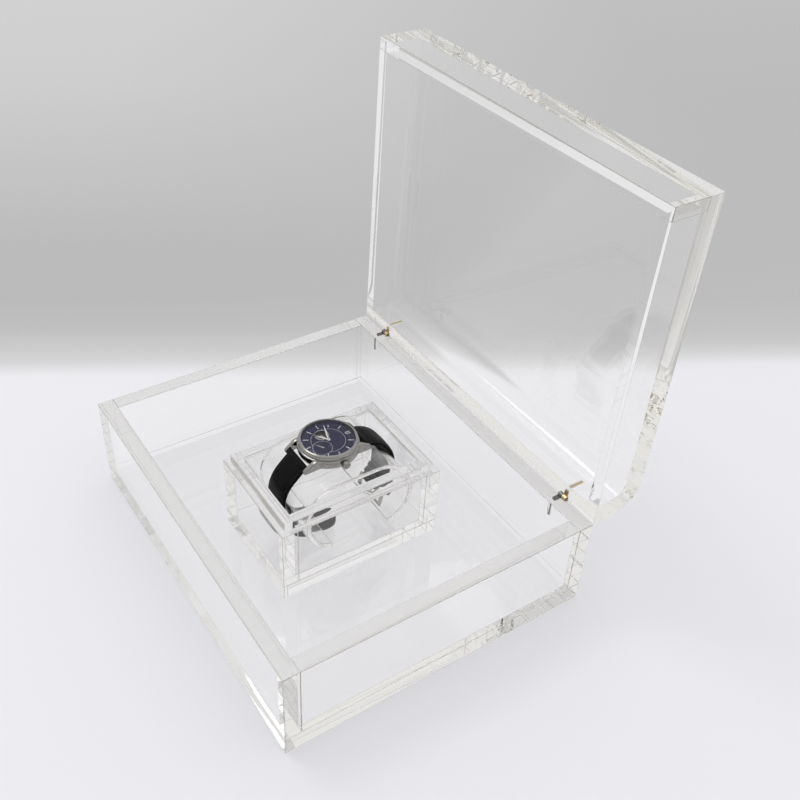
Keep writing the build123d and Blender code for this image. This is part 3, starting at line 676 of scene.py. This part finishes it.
# ------------------------------------------------------------------ hands
def make_hand(name, body, node, sizes, level, angle, hub, at=(0, 0)):
    """A tapered hand with a ridge along its middle and a turned hub; sizes are length, width and tail."""
    length, width, tail = sizes
    w = width / 2
    edge = [(0.35 * w, -tail), (0.8 * w, 0.1 * length), (w, 0.35 * length), (0.75 * w, 0.72 * length),
            (0.08, length)]
    a = radians(angle)
    out, side = Vector((sin(a), cos(a))), Vector((cos(a), -sin(a)))
    middle = Vector((WATCH[0] + at[0], WATCH[1] + at[1]))
    bm = bmesh.new()

    def at_point(s, r, h):
        p = middle + out * r + side * s
        return bm.verts.new((p.x * MM, p.y * MM, (WATCH[2] + level + h) * MM))

    rows = [
        [at_point(*corner) for corner in ((-s, r, 0), (-s, r, 0.07), (0, r, 0.18), (s, r, 0.07), (s, r, 0))]
        for s, r in edge
    ]
    skin(bm, rows)
    bm.faces.new(rows[0])
    bm.faces.new(rows[-1][::-1])
    piece(finish_mesh(name, bm, [silver], 5.0), body, "polished_steel", node)
    turned(f"{name}_hub", [
        (hub * 0.48, level), (hub * 0.48, level + 0.18), (hub * 0.8, level + 0.21), (hub, level + 0.14),
        (hub, level), (hub * 0.48, level),
    ], [silver], body, "polished_steel", at=at, steps=48)


make_hand("hour_hand_blade", "hour_hand", "watch_hour_hand", (8.6, 1.15, 1.6), 8.6, 234.0, 1.1)
make_hand("minute_hand_blade", "minute_hand", "watch_minute_hand", (13.0, 0.95, 2.0), 9.03, 288.0, 1.1)
make_hand("seconds_hand_blade", "seconds_hand", "watch_seconds_hand", (4.6, 0.4, 1.4), 8.25, 237.0, 0.55,
          SMALL_SECONDS)

# ------------------------------------------------------------------ strap
RING_FRONT, RING_REAR = (-16.0, 53.4), (14.0, 53.4)     # mm (y, z): centres of the C-ring's round ends
STRAP_R, DROP_R = 24.7, 20.6        # the strap's middle line round the ring, and the tail's bend below it
STRAP_W, STRAP_T = 19.4, 2.6
BOX_FLOOR, FLOOR_GAP, TAIL_END_Y = 22.0, 0.7, -3.0
BAR_Y, BAR_Z, BAR_END = 21.3, WATCH[2] + 2.6, 1.8
SPRING_BAR_HOLE, BUCKLE_BAR_HOLE, BAR_TRIM = 0.81, 0.61, 0.9
HOLES, FIRST_HOLE, HOLE_PITCH, HOLE_R = 7, 14.0, 6.2, 0.8
POINT = 9.0                         # mm: the tail's pointed end
FRONT_BAR, REAR_BAR = (WATCH[1] - BAR_Y, BAR_Z), (WATCH[1] + BAR_Y, BAR_Z)
BUCKLE_ANGLE, BUCKLE_W = -57.0, 16.0


def on_circle(centre, radius, angle):
    """A point (y, z) of a circle."""
    return (centre[0] + radius * cos(radians(angle)), centre[1] + radius * sin(radians(angle)))


def tangent_angle(point, centre, radius, side):
    """Where a line from a point touches a circle."""
    dy, dz = point[0] - centre[0], point[1] - centre[1]
    return degrees(atan2(dz, dy)) + side * degrees(acos(radius / hypot(dy, dz)))


def run_of(segments, step=0.9):
    """Evenly spaced (y, z) points along lines and arcs."""
    points = []
    for segment in segments:
        if segment[0] == "line":
            (y0, z0), (y1, z1) = segment[1:]
            count = max(2, int(hypot(y1 - y0, z1 - z0) / step))
            new = [(y0 + (y1 - y0) * i / count, z0 + (z1 - z0) * i / count) for i in range(count + 1)]
        else:
            centre, radius, start, end = segment[1:]
            count = max(3, int(abs(radians(end - start)) * radius / step))
            new = [on_circle(centre, radius, start + (end - start) * i / count) for i in range(count + 1)]
        points += new[1:] if points else new
    return points


def framed(points, outward):
    """Distance along, point and outward normal for each point of a run."""
    rows, travelled = [], 0.0
    for i, p in enumerate(points):
        a, b = points[max(0, i - 1)], points[min(len(points) - 1, i + 1)]
        dy, dz = b[0] - a[0], b[1] - a[1]
        length = hypot(dy, dz)
        travelled += hypot(p[0] - points[i - 1][0], p[1] - points[i - 1][1]) if i else 0.0
        rows.append((travelled, p, (outward * dz / length, -outward * dy / length)))
    return rows


# half a section: across, from middle (0) to edge (1), and height, from lining (-1) to the crown (1)
SECTION = [
    (0.0, 1.0), (0.16, 0.995), (0.32, 0.97), (0.48, 0.92), (0.62, 0.84), (0.73, 0.73), (0.80, 0.62),
    (0.825, 0.56), (0.845, 0.53), (0.865, 0.55), (0.885, 0.56), (0.925, 0.50), (0.96, 0.38), (0.985, 0.2),
    (1.0, -0.05), (1.0, -0.55), (0.992, -0.8), (0.975, -0.93), (0.94, -1.0),
]
STITCH_ACROSS, STITCH_HEIGHT = 0.845, 0.53


def strap_bmesh(rows, width_at, crown_at):
    """A leather strap swept along its run: crowned leather outside and a flat lining."""
    bm = bmesh.new()
    loop = [(-x, h) for x, h in SECTION[::-1]] + SECTION[1:]
    rings = []
    for s, (y, z), (ny, nz) in rows:
        w, crown = width_at(s) * STRAP_W / 2, crown_at(s)
        ring = []
        for across_part, h in loop:
            rise = h if h <= STITCH_HEIGHT else STITCH_HEIGHT + (h - STITCH_HEIGHT) * crown
            off = rise * STRAP_T / 2
            x = WATCH[0] + across_part * w
            ring.append(bm.verts.new((x * MM, (y + ny * off) * MM, (z + nz * off) * MM)))
        rings.append(ring)
    count = len(loop)
    for k, face in enumerate(skin(bm, rings)):
        face.material_index = 1 if k % count in (count - 1, count - 2, 0) else 0
    bm.faces.new(rings[0][::-1])
    bm.faces.new(rings[-1])
    bmesh.ops.recalc_face_normals(bm, faces=bm.faces)
    return bm


def stitch_bmesh(bm, rows, start, end, width_at, pitch=2.3, length=1.55, radius=0.19):
    """Saddle stitches sunk along both edges of a strap."""
    beads = ((0.0, 0.35, -0.22), (0.12, 0.8, -0.06), (0.5, 1.0, 0.0), (0.88, 0.8, -0.06), (1.0, 0.35, -0.22))
    sideways = Vector((1, 0, 0))
    s = start
    while s + length < end:
        ends = []
        for at in (s, s + length):
            k = min(range(len(rows)), key=lambda i: abs(rows[i][0] - at))
            k2 = min(len(rows) - 1, k + 1) if rows[k][0] < at else max(0, k - 1)
            span = rows[k2][0] - rows[k][0]
            t = (at - rows[k][0]) / span if span else 0.0
            p = [rows[k][1][i] + (rows[k2][1][i] - rows[k][1][i]) * t for i in (0, 1)]
            ends.append((p, rows[k][2]))
        for side in (-1, 1):
            x = WATCH[0] + side * STITCH_ACROSS * width_at(s) * STRAP_W / 2
            lift = STITCH_HEIGHT * STRAP_T / 2 + 0.08
            a, b = [Vector((x, p[0] + n[0] * lift, p[1] + n[1] * lift)) * MM for p, n in ends]
            normal = Vector((0, *ends[0][1]))
            rings = []
            for t, r, dip in beads:
                middle = a.lerp(b, t) + normal * dip * MM
                rings.append([
                    bm.verts.new(middle + (normal * cos(q) + sideways * sin(q)) * radius * r * MM)
                    for q in (2 * pi * i / 8 for i in range(8))
                ])
            skin(bm, rings)
            bm.faces.new(rings[0][::-1])
            bm.faces.new(rings[-1])
        s += pitch


BUCKLE_BAR = on_circle(RING_REAR, STRAP_R, BUCKLE_ANGLE)
DROP = (RING_FRONT[0] - STRAP_R + DROP_R, BOX_FLOOR + FLOOR_GAP + STRAP_T / 2 + DROP_R)
front_touch = tangent_angle(FRONT_BAR, RING_FRONT, STRAP_R, 1)
rear_touch = tangent_angle(REAR_BAR, RING_REAR, STRAP_R, -1)
front_run = run_of([
    ("line", FRONT_BAR, on_circle(RING_FRONT, STRAP_R, front_touch)),
    ("arc", RING_FRONT, STRAP_R, front_touch, 180.0),
    ("line", on_circle(RING_FRONT, STRAP_R, 180.0), on_circle(DROP, DROP_R, 180.0)),
    ("arc", DROP, DROP_R, 180.0, 270.0),
    ("line", on_circle(DROP, DROP_R, 270.0), (TAIL_END_Y, DROP[1] - DROP_R)),
])
rear_run = run_of([
    ("line", REAR_BAR, on_circle(RING_REAR, STRAP_R, rear_touch)),
    ("arc", RING_REAR, STRAP_R, rear_touch, BUCKLE_ANGLE),
])
front_rows = [r for r in framed(front_run, 1) if r[0] > BAR_TRIM]
rear_rows = [r for r in framed(rear_run, -1) if r[0] > BAR_TRIM]
tail_end = front_rows[-1][0]


def narrowing(z):
    """The strap's width at a height, as a share of its width at the lugs."""
    fall = min(max((RING_REAR[1] - z) / (RING_REAR[1] - BUCKLE_BAR[1]), 0.0), 1.0)
    return 1.0 - (1.0 - BUCKLE_W / STRAP_W) * fall


def height_at(rows, s):
    """The height of a run at a distance along it."""
    return min(rows, key=lambda r: abs(r[0] - s))[1][1]


def tail_width(s):
    """The tail half's share of the width at the lugs, down to its pointed end."""
    past = (s - (tail_end - POINT)) / POINT
    point = 1.0 if past <= 0 else max(0.3, (1 - min(1.0, past) ** 2.4) ** 0.5)
    return narrowing(height_at(front_rows, s)) * point


def buckle_width(s):
    """The buckle half's share of the width at the lugs."""
    return narrowing(height_at(rear_rows, s))


def padding(s):
    """The crown is full by the lugs and thins out under the ring."""
    return 1.0 - 0.6 * min(1.0, max(0.0, (s - 22.0) / 22.0))


def block_bmesh(x0, x1, y0, y1, z0, z1):
    """A box, in mm."""
    bm = bmesh.new()
    prism(bm, [(y0, z0), (y1, z0), (y1, z1), (y0, z1)], x0, x1, axis="X")
    bmesh.ops.recalc_face_normals(bm, faces=bm.faces)
    return bm


tail_cut = bmesh.new()
for k in range(HOLES):
    at = tail_end - FIRST_HOLE - HOLE_PITCH * k
    _, (y, z), (ny, nz) = min(front_rows, key=lambda r: abs(r[0] - at))
    direction = Vector((0, ny, nz)).to_track_quat("Z", "X").to_matrix().to_4x4()
    add_pin(tail_cut, 24, HOLE_R, 6, Matrix.Translation(Vector((WATCH[0], y, z)) * MM) @ direction)
tail_half = fuse("tail_half", [strap_bmesh(front_rows, tail_width, padding), tail_cut], [leather, lining],
                 "DIFFERENCE", 32.0)
piece(tail_half, "watch", "leather", "strap_tail_half")
prong_slot = (WATCH[0] - 0.9, WATCH[0] + 0.9, BUCKLE_BAR[0] - 1.5, BUCKLE_BAR[0] + 1.5, BUCKLE_BAR[1] - 1.5,
              BUCKLE_BAR[1] + 1.5)
buckle_half = fuse("buckle_half", [strap_bmesh(rear_rows, buckle_width, padding), block_bmesh(*prong_slot)],
                   [leather, lining], "DIFFERENCE", 32.0)
piece(buckle_half, "watch", "leather", "strap_buckle_half")

bm = bmesh.new()
stitch_bmesh(bm, front_rows, 2.6, tail_end - 12.0, tail_width)
stitch_bmesh(bm, rear_rows, 2.6, rear_rows[-1][0] - 3.0, buckle_width)
piece(finish_mesh("strap_stitches", bm, [thread], 60.0, weld=False), "watch", "leather")


def tube_x(outer, inner, x0, x1, y, z, ease, steps=40):
    """A tube along X with eased rims, in mm."""
    bm = bmesh.new()
    near = 0.3 * ease
    profile = [(inner, x0), (outer - ease, x0), (outer - near, x0 + near), (outer, x0 + ease),
               (outer, x1 - ease), (outer - near, x1 - near), (outer - ease, x1), (inner, x1)]
    turns = [2 * pi * i / steps for i in range(steps)]
    rings = [[bm.verts.new((x * MM, (y + r * cos(a)) * MM, (z + r * sin(a)) * MM)) for a in turns]
             for r, x in profile]
    skin(bm, rings, closed=True)
    return bm


half = STRAP_W / 2
for name, bar in (("front", FRONT_BAR), ("rear", REAR_BAR)):
    rolled = tube_x(BAR_END, SPRING_BAR_HOLE, WATCH[0] - half, WATCH[0] + half, *bar, 0.4)
    piece(finish_mesh(f"rolled_end_{name}", rolled, [leather], 40.0), "watch", "leather")
buckle_roll = tube_x(STRAP_T / 2, BUCKLE_BAR_HOLE, WATCH[0] - BUCKLE_W / 2, WATCH[0] + BUCKLE_W / 2,
                     *BUCKLE_BAR, 0.3)
piece(fuse("buckle_roll", [buckle_roll, block_bmesh(*prong_slot)], [leather], "DIFFERENCE", 40.0),
      "watch", "leather")
KEEPER_GAP, KEEPER_LEATHER, KEEPER_ROOM, KEEPER_HALF = 0.1, 0.4, 3.4, 2.0
KEEPER_ANGLES = (-46.0, -35.5)


def keeper_bmesh(angle):
    """A leather loop round the strap, with room for a second layer, swept with rounded edges."""
    bm = bmesh.new()
    inner = STRAP_R - STRAP_T / 2 - KEEPER_GAP - KEEPER_LEATHER
    outer = STRAP_R + KEEPER_ROOM + STRAP_T / 2 + KEEPER_GAP + KEEPER_LEATHER
    top = RING_REAR[1] + STRAP_R * sin(radians(angle) + KEEPER_HALF / (inner + outer) * 2)
    half_x, corner = half * narrowing(top) + KEEPER_GAP + KEEPER_LEATHER, 1.1
    loop = []
    for cx, cr, start in ((half_x - corner, outer - corner, 0), (-half_x + corner, outer - corner, 90),
                          (-half_x + corner, inner + corner, 180), (half_x - corner, inner + corner, 270)):
        for k in range(6):
            a = radians(start + 18 * k)
            loop.append(((cx + corner * cos(a), cr + corner * sin(a)), (cos(a), sin(a))))
    section = [(-2.0, -0.25), (-1.85, -0.4), (1.85, -0.4), (2.0, -0.25), (2.0, 0.15), (1.8, 0.35),
               (1.2, 0.43), (0, 0.46), (-1.2, 0.43), (-1.8, 0.35), (-2.0, 0.15)]
    rings = []
    for (x, r), (nx, nr) in loop:
        ring = []
        for t, h in section:
            radius = r + nr * h
            a = radians(angle) + t / ((inner + outer) / 2)
            y, z = RING_REAR[0] + radius * cos(a), RING_REAR[1] + radius * sin(a)
            ring.append(bm.verts.new(((WATCH[0] + x + nx * h) * MM, y * MM, z * MM)))
        rings.append(ring)
    skin(bm, rings, closed=True)
    return bm


for k, angle in enumerate(KEEPER_ANGLES):
    keeper = finish_mesh(f"keeper_{k}", keeper_bmesh(angle), [leather], 40.0)
    piece(keeper, "watch", "leather", *(["strap_keepers"] if k == 0 else []))

# ------------------------------------------------------------------ stage
floor_mat = material("floor_paper", base_color=(0.8, 0.8, 0.81), roughness=0.9)
bm = bmesh.new()
FLOOR_HALF, FLOOR_DROP = 6.0, 0.0002     # m: it lies a hair under the box's underside
for x, y in ((-1, -1), (1, -1), (1, 1), (-1, 1)):
    bm.verts.new((x * FLOOR_HALF, y * FLOOR_HALF, 0))
bm.faces.new(bm.verts[:])
floor = finish_mesh("floor", bm, [floor_mat])
floor.location.z = -FLOOR_DROP
nodes, links, shader = nodes_of(floor_mat)
geo = nodes.new("ShaderNodeNewGeometry")


def floor_distance(direction, start, end):
    """How far a floor point lies along a direction, from 0 to 1."""
    dot = nodes.new("ShaderNodeVectorMath")
    dot.operation = "DOT_PRODUCT"
    dot.inputs[1].default_value = direction
    links.new(geo.outputs["Position"], dot.inputs[0])
    grade = nodes.new("ShaderNodeMapRange")
    grade.inputs["From Min"].default_value = start
    grade.inputs["From Max"].default_value = end
    links.new(dot.outputs["Value"], grade.inputs["Value"])
    return grade.outputs["Result"]


# the tone zone paints a shaded wall onto the floor: greys darkest just past the pale floor, at the wall's
# foot, lighter further out and at the left end
AWAY, ALONG = (-0.872, 0.489, 0), (0.489, 0.872, 0)     # across the tone zone that stands for the wall


def floor_ramp(stops):
    """Greys across the tone zone, painted shade of the wall it stands for; the pale floor before it is
    slightly blue.
    """
    colours = [(at, (v, v, v * (1.035 if v > 0.8 else 1.005))) for at, v in stops]
    return add_ramp(floor_mat, floor_distance(AWAY, 0.15, 1.15), colours, "Base Color")


far_left = floor_ramp([
    (0.0, 0.88), (0.022, 0.87), (0.04, 0.68), (0.06, 0.61), (0.085, 0.53), (0.13, 0.495), (0.22, 0.50),
    (0.35, 0.55), (0.6, 0.62), (1.0, 0.66),
])
far_right = floor_ramp([
    (0.0, 0.88), (0.03, 0.87), (0.045, 0.71), (0.06, 0.61), (0.085, 0.56), (0.13, 0.53), (0.2, 0.515),
    (0.35, 0.515), (0.6, 0.52), (1.0, 0.55),
])
blend = nodes.new("ShaderNodeMix")
blend.data_type = "RGBA"
links.new(floor_distance(ALONG, -0.25, 0.45), blend.inputs["Factor"])
links.new(far_left.outputs["Color"], blend.inputs["A"])
links.new(far_right.outputs["Color"], blend.inputs["B"])
links.new(blend.outputs["Result"], shader.inputs["Base Color"])

# the pale floor shows at an even tone to the camera and through the clear sheets, and keeps its shadows
glow = nodes.new("ShaderNodeEmission")
links.new(blend.outputs["Result"], glow.inputs["Color"])
path = nodes.new("ShaderNodeLightPath")


def math_node(tree_nodes, tree_links, operation, a, b, clamp=False):
    """A Math node whose inputs are sockets or numbers."""
    node = tree_nodes.new("ShaderNodeMath")
    node.operation = operation
    node.use_clamp = clamp
    for socket, value in zip(node.inputs, (a, b)):
        if isinstance(value, (int, float)):
            socket.default_value = value
        else:
            tree_links.new(value, socket)
    return node.outputs["Value"]


GLOW_CLEAR, GLOW_PLAIN = 0.77, 0.5     # the share of even tone, mirrored or through clear, and seen plainly
seen_clear = math_node(nodes, links, "ADD", path.outputs["Is Glossy Ray"],
                       path.outputs["Is Transmission Ray"], clamp=True)
seen_clear = math_node(nodes, links, "MULTIPLY", seen_clear, GLOW_CLEAR)
seen_plain = math_node(nodes, links, "MULTIPLY", path.outputs["Is Camera Ray"], GLOW_PLAIN)
share = math_node(nodes, links, "ADD", seen_clear, seen_plain, clamp=True)
mixed = nodes.new("ShaderNodeMixShader")
links.new(share, mixed.inputs["Fac"])
links.new(shader.outputs["BSDF"], mixed.inputs[1])
links.new(glow.outputs["Emission"], mixed.inputs[2])
links.new(mixed.outputs["Shader"], nodes["Material Output"].inputs["Surface"])

world = bpy.data.worlds.new("studio")
bpy.context.scene.world = world
world.use_nodes = True
wn, wl = world.node_tree.nodes, world.node_tree.links
background = wn["Background"]
background.inputs["Strength"].default_value = 1.0
coords = wn.new("ShaderNodeTexCoord")
split = wn.new("ShaderNodeSeparateXYZ")
ramp = wn.new("ShaderNodeValToRGB")
ramp.color_ramp.elements[0].position = 0.0
ramp.color_ramp.elements[0].color = (0.34, 0.34, 0.345, 1)
ramp.color_ramp.elements[1].position = 0.5
ramp.color_ramp.elements[1].color = (0.93, 0.93, 0.94, 1)
wl.new(coords.outputs["Generated"], split.inputs["Vector"])
wl.new(split.outputs["Z"], ramp.inputs["Fac"])
# the dim end of the room, low down in front of the box
towards = wn.new("ShaderNodeVectorMath")
towards.operation = "DOT_PRODUCT"
towards.inputs[1].default_value = (0.70, -0.66, -0.28)
wl.new(coords.outputs["Generated"], towards.inputs[0])
dim = wn.new("ShaderNodeMapRange")
dim.interpolation_type = "SMOOTHSTEP"
dim.inputs["From Min"].default_value = 0.30
dim.inputs["From Max"].default_value = 0.72
dim.inputs["To Min"].default_value = 1.0
dim.inputs["To Max"].default_value = 0.12
wl.new(towards.outputs["Value"], dim.inputs["Value"])
shade = wn.new("ShaderNodeMix")
shade.data_type = "RGBA"
shade.blend_type = "MULTIPLY"
shade.inputs["Factor"].default_value = 1.0
wl.new(ramp.outputs["Color"], shade.inputs["A"])
wl.new(dim.outputs["Result"], shade.inputs["B"])
# seen plainly, mirrored or through clear sheets, the room is a pale backdrop that keeps part of its dim end
BACKDROP, BACKDROP_SHARE = (0.80, 0.80, 0.81, 1), 0.6
world_path = wn.new("ShaderNodeLightPath")
seen = math_node(wn, wl, "ADD", world_path.outputs["Is Camera Ray"], world_path.outputs["Is Glossy Ray"])
seen = math_node(wn, wl, "ADD", seen, world_path.outputs["Is Transmission Ray"], clamp=True)
backdrop = wn.new("ShaderNodeMix")
backdrop.data_type = "RGBA"
backdrop.inputs["B"].default_value = BACKDROP
wl.new(math_node(wn, wl, "MULTIPLY", seen, BACKDROP_SHARE), backdrop.inputs["Factor"])
wl.new(shade.outputs["Result"], backdrop.inputs["A"])
wl.new(backdrop.outputs["Result"], background.inputs["Color"])


def area_light(name, place, target, size, power):
    """A square lamp, unseen through the clear sheets."""
    data = bpy.data.lights.new(name, "AREA")
    data.shape = "SQUARE"
    data.size = size
    data.energy = power
    obj = bpy.data.objects.new(name, data)
    obj.location = place
    obj.rotation_euler = (Vector(target) - Vector(place)).to_track_quat("-Z", "Y").to_euler()
    obj.visible_transmission = False
    bpy.context.scene.collection.objects.link(obj)


area_light("key", (-0.9, -0.4, 1.9), (0, 0, 0.05), 0.7, 7.0)

# ------------------------------------------------------------------ camera
# fitted to the photo: view angles, the point looked at, its distance in m, and the focal length in pixels
azimuth, elevation, roll = radians(54.089), radians(38.966), radians(3.529)
DISTANCE, FOCAL, PHOTO_WIDTH, SENSOR = 0.7703, 1000.986, 800, 36
target = Vector((-0.0930, 0.1157, 0.0))
back = Vector((sin(azimuth) * cos(elevation), -cos(azimuth) * cos(elevation), sin(elevation)))
level = Vector((cos(azimuth), sin(azimuth), 0))
up = back.cross(level)
across = cos(roll) * level + sin(roll) * up
upright = cos(roll) * up - sin(roll) * level
camera_data = bpy.data.cameras.new("camera")
camera_data.sensor_width = SENSOR
camera_data.lens = FOCAL / PHOTO_WIDTH * SENSOR
camera_data.clip_start = 0.01
camera = bpy.data.objects.new("camera", camera_data)
turn = Matrix((across, upright, back)).transposed().to_4x4()
camera.matrix_world = Matrix.Translation(target + back * DISTANCE) @ turn
bpy.context.scene.collection.objects.link(camera)
scene = bpy.context.scene
scene.camera = camera
scene.view_settings.view_transform = "Standard"
CLEAR_BOUNCES = 96                  # light runs a long way inside the sheets
scene.cycles.max_bounces = CLEAR_BOUNCES
scene.cycles.transmission_bounces = CLEAR_BOUNCES
scene.cycles.transparent_max_bounces = 16
scene.cycles.glossy_bounces = CLEAR_BOUNCES
